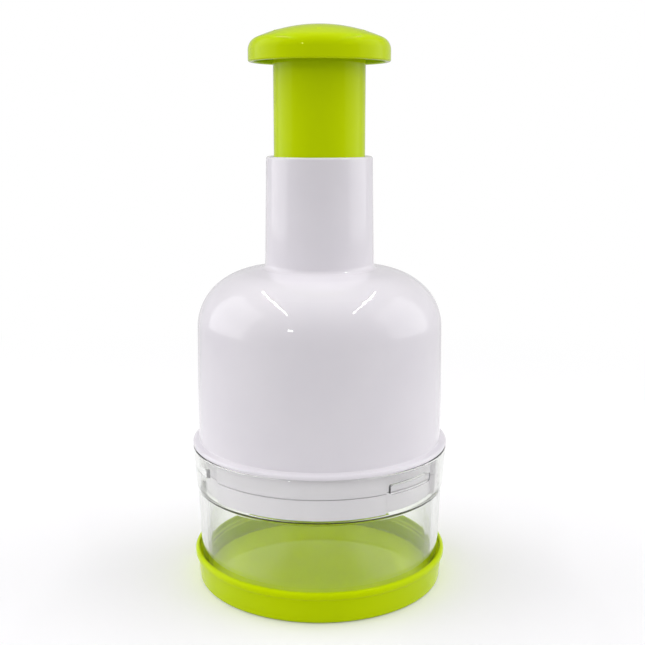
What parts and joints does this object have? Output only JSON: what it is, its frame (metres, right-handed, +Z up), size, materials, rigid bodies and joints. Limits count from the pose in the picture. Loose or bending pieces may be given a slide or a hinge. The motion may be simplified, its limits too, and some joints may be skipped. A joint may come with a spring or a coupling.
{
  "type": "plunger food chopper",
  "caption": "Press-down food chopper: mushroom knob on a sliding stem, bell housing, zigzag blade that turns as it drops, clear cup and green base cap.",
  "frame": {"origin": "centre of the base cap's underside, on the surface the chopper stands on", "axes": "+Z up along the plunger's axis, -Y towards the front, +X to the right seen from the front"},
  "size_m": [0.096, 0.096, 0.2054],
  "materials": {
    "green_plastic": "polished moulded polypropylene, lime green",
    "white_plastic": "polished moulded ABS, white",
    "clear_plastic": "clear moulded styrene acrylonitrile",
    "inner_plastic": "natural moulded ABS, fine texture",
    "nylon": "natural nylon, as moulded",
    "wiper_plastic": "soft moulded polyethylene",
    "stainless": "rolled stainless steel, ground edges",
    "spring_steel": "drawn spring wire",
    "plated_steel": "zinc plated"
  },
  "bodies": {
    "base": {"base_cap": "green_plastic"},
    "cup": {"cup": "clear_plastic"},
    "housing": {"housing_shell": "white_plastic", "guard_ring": "white_plastic", "wiper_retainer": "white_plastic", "guide_sleeve": "inner_plastic", "sleeve_screws": "plated_steel", "twist_nut": "nylon", "nut_cover": "inner_plastic", "cover_screws": "plated_steel", "spring_washer": "plated_steel"},
    "plunger": {"plunger_stem": "green_plastic", "knob_cap": "green_plastic", "knob_screws": "plated_steel", "swivel_bush": "nylon", "return_spring": "spring_steel"},
    "blades": {"spiral_shaft": "stainless", "thrust_washer": "stainless", "shaft_clip": "spring_steel", "blade_holder": "inner_plastic", "blade_plate": "stainless", "blade_rivets": "stainless", "blade_strip": "stainless"},
    "wiper": {"wiper_disc": "wiper_plastic"}
  },
  "joints": [
    {"name": "cup_lift", "type": "slide", "parent": "base", "child": "cup", "axis": [0, 0, 1], "range_m": [0, 0.03]},
    {"name": "housing_lift", "type": "slide", "parent": "cup", "child": "housing", "axis": [0, 0, 1], "range_m": [0, 0.04]},
    {"name": "plunge", "type": "slide", "parent": "housing", "child": "plunger", "axis": [0, 0, -1], "range_m": [0, 0.035], "stiffness_N_per_m": 359, "springref_m": -0.015, "deforming": ["return_spring"]},
    {"name": "blade_spin", "type": "hinge", "parent": "plunger", "child": "blades", "pos_m": [0, 0, 0.2], "axis": [0, 0, 1], "range_deg": [-45, 0]},
    {"name": "wiper_spin", "type": "hinge", "parent": "housing", "child": "wiper", "pos_m": [0, 0, 0.04], "axis": [0, 0, 1], "range_deg": [-45, 0]}
  ],
  "couplings": [
    {"joint": "blade_spin", "follows": "plunge", "rad_per_m": -22.44},
    {"joint": "wiper_spin", "follows": "plunge", "rad_per_m": -22.44}
  ]
}
